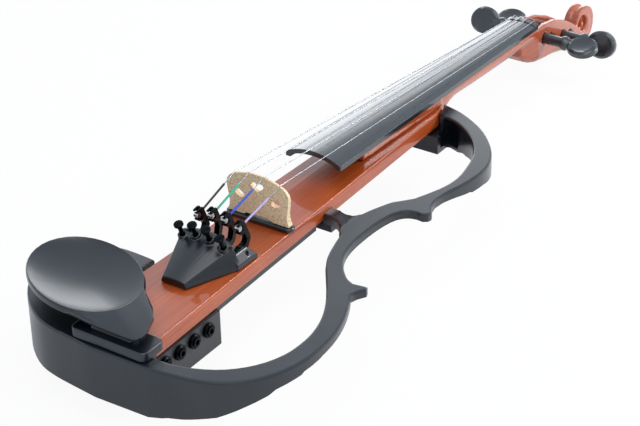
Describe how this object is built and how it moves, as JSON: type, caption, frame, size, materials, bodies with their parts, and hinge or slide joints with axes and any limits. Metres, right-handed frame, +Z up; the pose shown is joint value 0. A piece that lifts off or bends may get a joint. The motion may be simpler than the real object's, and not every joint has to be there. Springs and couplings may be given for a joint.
{
  "type": "electric violin",
  "caption": "Electric violin with a slim wooden core, an open moulded half-outline frame, chin rest, fine-tuner tailpiece and a jack housing under the tail.",
  "frame": {"origin": "middle of the bounding box across and along, at its lowest point, which is the bottom of the scroll", "axes": "+X to the treble side, +Y from the tail to the scroll, +Z up through the strings"},
  "size_m": [0.196, 0.599, 0.0848],
  "materials": {
    "varnished_wood": "gloss clear varnish over orange-brown wood",
    "black_resin": "satin",
    "grey_plastic": "satin",
    "ebony": "satin",
    "maple": "bare flecked maple",
    "black_metal": "black oxide",
    "nickel": "nickel plated",
    "string_wire": "wound wire",
    "circuit": "satin lacquer",
    "cell_jacket": "gloss"
  },
  "bodies": {
    "body": {"wood_body": "varnished_wood", "neck": "varnished_wood", "fingerboard": "ebony", "nut": "ebony", "outline_frame": "black_resin", "jack_housing": "grey_plastic", "battery_1": "cell_jacket", "battery_2": "cell_jacket", "circuit_board": "circuit", "jack_socket_1": "black_metal", "jack_nut_1": "black_metal", "jack_socket_2": "black_metal", "jack_nut_2": "black_metal", "jack_socket_3": "black_metal", "jack_nut_3": "black_metal", "jack_socket_4": "black_metal", "jack_nut_4": "black_metal", "volume_control": "nickel", "switch_body": "nickel", "bridge": "maple", "pickup_bar": "black_resin", "tailpiece": "black_resin", "lever_rod": "nickel", "string_g": "string_wire", "string_d": "string_wire", "string_a": "string_wire", "string_e": "string_wire", "chin_rest_pad": "black_resin", "chin_rest": "black_resin", "tailpiece_screw_1": "black_metal", "tailpiece_screw_2": "black_metal", "chin_rest_screw_1": "black_metal", "chin_rest_screw_2": "black_metal", "frame_screw_tail_1": "black_metal", "frame_screw_tail_2": "black_metal", "frame_screw_waist": "black_metal", "frame_screw_neck": "black_metal", "housing_screw_1": "black_metal", "housing_screw_2": "black_metal", "housing_screw_3": "black_metal"},
    "door": {"battery_door": "grey_plastic"},
    "knob": {"volume_knob": "grey_plastic"},
    "switch": {"power_switch": "grey_plastic"},
    "peg_g": {"peg_g": "ebony"},
    "peg_d": {"peg_d": "ebony"},
    "peg_a": {"peg_a": "ebony"},
    "peg_e": {"peg_e": "ebony"},
    "screw_g": {"tuner_screw_g": "black_metal"},
    "lever_g": {"tuner_lever_g": "black_metal", "ball_end_g": "nickel"},
    "screw_d": {"tuner_screw_d": "black_metal"},
    "lever_d": {"tuner_lever_d": "black_metal", "ball_end_d": "nickel"},
    "screw_a": {"tuner_screw_a": "black_metal"},
    "lever_a": {"tuner_lever_a": "black_metal", "ball_end_a": "nickel"},
    "screw_e": {"tuner_screw_e": "black_metal"},
    "lever_e": {"tuner_lever_e": "black_metal", "ball_end_e": "nickel"}
  },
  "joints": [
    {"name": "battery_door_slide", "type": "slide", "parent": "body", "child": "door", "axis": [0, 1, 0], "range_m": [0, 0.055]},
    {"name": "volume_turn", "type": "hinge", "parent": "body", "child": "knob", "pos_m": [0.00598, -0.23402, 0.0192], "axis": [0, 0, -1], "range_deg": [-150, 150]},
    {"name": "power_switch_slide", "type": "slide", "parent": "body", "child": "switch", "axis": [0, 1, 0], "range_m": [0, 0.004]},
    {"name": "peg_g_turn", "type": "hinge", "parent": "body", "child": "peg_g", "pos_m": [-0.01102, 0.22098, 0.03395], "axis": [-1, 0, 0], "continuous": true},
    {"name": "peg_d_turn", "type": "hinge", "parent": "body", "child": "peg_d", "pos_m": [-0.01102, 0.25498, 0.02239], "axis": [-1, 0, 0], "continuous": true},
    {"name": "peg_a_turn", "type": "hinge", "parent": "body", "child": "peg_a", "pos_m": [-0.01102, 0.24148, 0.02698], "axis": [1, 0, 0], "continuous": true},
    {"name": "peg_e_turn", "type": "hinge", "parent": "body", "child": "peg_e", "pos_m": [-0.01102, 0.20848, 0.0382], "axis": [1, 0, 0], "continuous": true},
    {"name": "tuner_g_turn", "type": "hinge", "parent": "body", "child": "screw_g", "pos_m": [-0.02621, -0.19752, 0.0752], "axis": [0, 0.342, -0.9397], "range_deg": [0, 720]},
    {"name": "lever_g_tilt", "type": "hinge", "parent": "body", "child": "lever_g", "pos_m": [-0.02621, -0.17902, 0.0564], "axis": [1, 0, 0], "range_deg": [0, 5.4]},
    {"name": "tuner_d_turn", "type": "hinge", "parent": "body", "child": "screw_d", "pos_m": [-0.01608, -0.19752, 0.0778], "axis": [0, 0.342, -0.9397], "range_deg": [0, 720]},
    {"name": "lever_d_tilt", "type": "hinge", "parent": "body", "child": "lever_d", "pos_m": [-0.01608, -0.17902, 0.0564], "axis": [1, 0, 0], "range_deg": [0, 5.4]},
    {"name": "tuner_a_turn", "type": "hinge", "parent": "body", "child": "screw_a", "pos_m": [-0.00595, -0.19752, 0.0778], "axis": [0, 0.342, -0.9397], "range_deg": [0, 720]},
    {"name": "lever_a_tilt", "type": "hinge", "parent": "body", "child": "lever_a", "pos_m": [-0.00595, -0.17902, 0.0564], "axis": [1, 0, 0], "range_deg": [0, 5.4]},
    {"name": "tuner_e_turn", "type": "hinge", "parent": "body", "child": "screw_e", "pos_m": [0.00419, -0.19752, 0.0752], "axis": [0, 0.342, -0.9397], "range_deg": [0, 720]},
    {"name": "lever_e_tilt", "type": "hinge", "parent": "body", "child": "lever_e", "pos_m": [0.00419, -0.17902, 0.0564], "axis": [1, 0, 0], "range_deg": [0, 5.4]}
  ],
  "couplings": [
    {"joint": "lever_g_tilt", "follows": "tuner_g_turn", "ratio": 0.0074},
    {"joint": "lever_d_tilt", "follows": "tuner_d_turn", "ratio": 0.0074},
    {"joint": "lever_a_tilt", "follows": "tuner_a_turn", "ratio": 0.0074},
    {"joint": "lever_e_tilt", "follows": "tuner_e_turn", "ratio": 0.0074}
  ]
}
